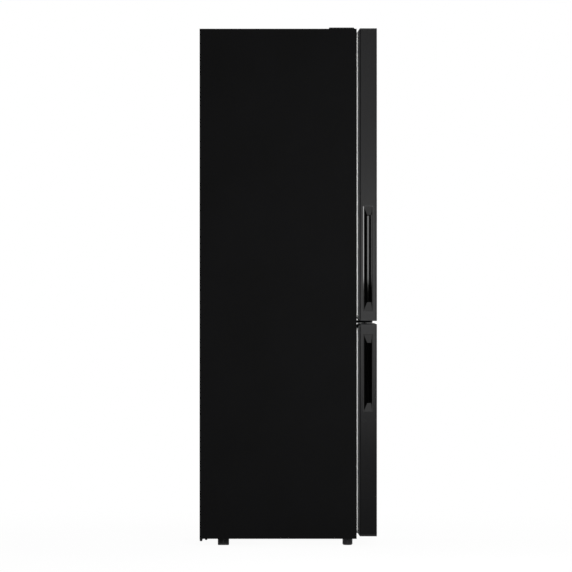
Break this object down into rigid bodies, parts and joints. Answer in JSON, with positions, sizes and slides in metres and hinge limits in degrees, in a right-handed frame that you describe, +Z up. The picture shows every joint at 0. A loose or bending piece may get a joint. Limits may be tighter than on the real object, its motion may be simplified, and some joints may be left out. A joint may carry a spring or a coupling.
{
  "type": "refrigerator",
  "caption": "tall black refrigerator with a freezer below, hinged doors with recessed side grips, drawers, glass shelves, door bins and levelling feet",
  "frame": {"origin": "on the floor under the middle of the appliance", "axes": "+X to the right seen from the front, +Y to the back, +Z up"},
  "size_m": [0.595, 0.635, 1.862],
  "materials": {
    "shell_steel": "satin",
    "door_steel": "satin",
    "black_moulding": "satin",
    "foam": "matte",
    "white_liner": "satin",
    "white_moulding": "satin",
    "clear_moulding": "gloss",
    "lamp_diffuser": "satin",
    "shelf_glass": "gloss",
    "seal_rubber": "matte",
    "hinge_steel": "satin",
    "plated_steel": "satin",
    "galvanised_steel": "satin",
    "compressor_paint": "gloss",
    "mount_rubber": "matte",
    "copper": "satin",
    "coil_aluminium": "satin"
  },
  "bodies": {
    "cabinet": {"outer_shell": "shell_steel", "mullion_rail": "shell_steel", "top_hinge_cover": "black_moulding", "hinge_hole_cover": "black_moulding", "rear_feet": "black_moulding", "cabinet_foam": "foam", "fridge_liner": "white_liner", "freezer_liner": "white_liner", "air_duct": "white_moulding", "freezer_air_panel": "white_moulding", "control_box": "white_moulding", "shelf_trims": "white_moulding", "condensate_tray": "white_moulding", "lamp_lens": "lamp_diffuser", "crisper_cover": "shelf_glass", "bottom_shelf": "shelf_glass", "middle_shelf": "shelf_glass", "top_shelf": "shelf_glass", "freezer_shelves": "shelf_glass", "top_hinge": "hinge_steel", "middle_hinge": "hinge_steel", "bottom_hinge": "hinge_steel", "compressor_tray": "hinge_steel", "hinge_screws": "plated_steel", "back_panel": "galvanised_steel", "base_pan": "galvanised_steel", "rear_cover": "galvanised_steel", "compressor": "compressor_paint", "fan_motor": "compressor_paint", "compressor_grommets": "mount_rubber", "refrigerant_lines": "copper", "evaporator": "coil_aluminium"},
    "fridge_door": {"fridge_door_skin": "door_steel", "fridge_door_caps": "black_moulding", "fridge_door_grip": "black_moulding", "fridge_door_frame": "black_moulding", "fridge_door_foam": "foam", "fridge_door_liner": "white_liner", "fridge_door_gasket": "seal_rubber", "bottle_bin": "clear_moulding", "middle_bin": "clear_moulding", "top_bin": "clear_moulding"},
    "freezer_door": {"freezer_door_skin": "door_steel", "freezer_door_caps": "black_moulding", "freezer_door_grip": "black_moulding", "freezer_door_frame": "black_moulding", "freezer_door_foam": "foam", "freezer_door_liner": "white_liner", "freezer_door_gasket": "seal_rubber"},
    "crisper": {"crisper_drawer": "clear_moulding"},
    "lower_drawer": {"lower_freezer_drawer": "clear_moulding"},
    "middle_drawer": {"middle_freezer_drawer": "clear_moulding"},
    "upper_drawer": {"upper_freezer_drawer": "clear_moulding"},
    "left_stud": {"left_foot_stud": "plated_steel"},
    "left_pad": {"left_foot_pad": "black_moulding"},
    "right_stud": {"right_foot_stud": "plated_steel"},
    "right_pad": {"right_foot_pad": "black_moulding"},
    "fan": {"evaporator_fan": "white_moulding"},
    "knob": {"control_knob": "white_moulding"},
    "slider": {"humidity_slider": "white_moulding"}
  },
  "joints": [
    {"name": "fridge_door_swing", "type": "hinge", "parent": "cabinet", "child": "fridge_door", "pos_m": [0.2835, -0.2815, 0.8035], "axis": [0, 0, 1], "range_deg": [0, 120]},
    {"name": "freezer_door_swing", "type": "hinge", "parent": "cabinet", "child": "freezer_door", "pos_m": [0.2835, -0.2815, 0.032], "axis": [0, 0, 1], "range_deg": [0, 120]},
    {"name": "crisper_slide", "type": "slide", "parent": "cabinet", "child": "crisper", "axis": [0, -1, 0], "range_m": [0, 0.2099]},
    {"name": "lower_drawer_slide", "type": "slide", "parent": "cabinet", "child": "lower_drawer", "axis": [0, -1, 0], "range_m": [0, 0.1785]},
    {"name": "middle_drawer_slide", "type": "slide", "parent": "cabinet", "child": "middle_drawer", "axis": [0, -1, 0], "range_m": [0, 0.1366]},
    {"name": "upper_drawer_slide", "type": "slide", "parent": "cabinet", "child": "upper_drawer", "axis": [0, -1, 0], "range_m": [0, 0.0947]},
    {"name": "left_stud_slide", "type": "slide", "parent": "cabinet", "child": "left_stud", "axis": [0, 0, -1], "range_m": [0, 0.0091]},
    {"name": "left_pad_turn", "type": "hinge", "parent": "left_stud", "child": "left_pad", "pos_m": [-0.2615, -0.2124, 0], "axis": [0, 0, 1], "range_deg": [0, 2160]},
    {"name": "right_stud_slide", "type": "slide", "parent": "cabinet", "child": "right_stud", "axis": [0, 0, -1], "range_m": [0, 0.0091]},
    {"name": "right_pad_turn", "type": "hinge", "parent": "right_stud", "child": "right_pad", "pos_m": [0.2615, -0.2124, 0], "axis": [0, 0, 1], "range_deg": [0, 2160]},
    {"name": "fan_spin", "type": "hinge", "parent": "cabinet", "child": "fan", "pos_m": [0, 0.2285, 0.62075], "axis": [0, 1, 0], "continuous": true},
    {"name": "knob_turn", "type": "hinge", "parent": "cabinet", "child": "knob", "pos_m": [0.062, -0.1896, 1.78], "axis": [0, 1, 0], "range_deg": [0, 270]},
    {"name": "slider_slide", "type": "slide", "parent": "cabinet", "child": "slider", "axis": [1, 0, 0], "range_m": [0, 0.04]}
  ],
  "couplings": [
    {"joint": "crisper_slide", "follows": "fridge_door_swing", "m_per_rad": 0.1},
    {"joint": "lower_drawer_slide", "follows": "freezer_door_swing", "m_per_rad": 0.085},
    {"joint": "middle_drawer_slide", "follows": "freezer_door_swing", "m_per_rad": 0.065},
    {"joint": "upper_drawer_slide", "follows": "freezer_door_swing", "m_per_rad": 0.045},
    {"joint": "left_stud_slide", "follows": "left_pad_turn", "m_per_rad": 0.00023873},
    {"joint": "right_stud_slide", "follows": "right_pad_turn", "m_per_rad": 0.00023873}
  ]
}
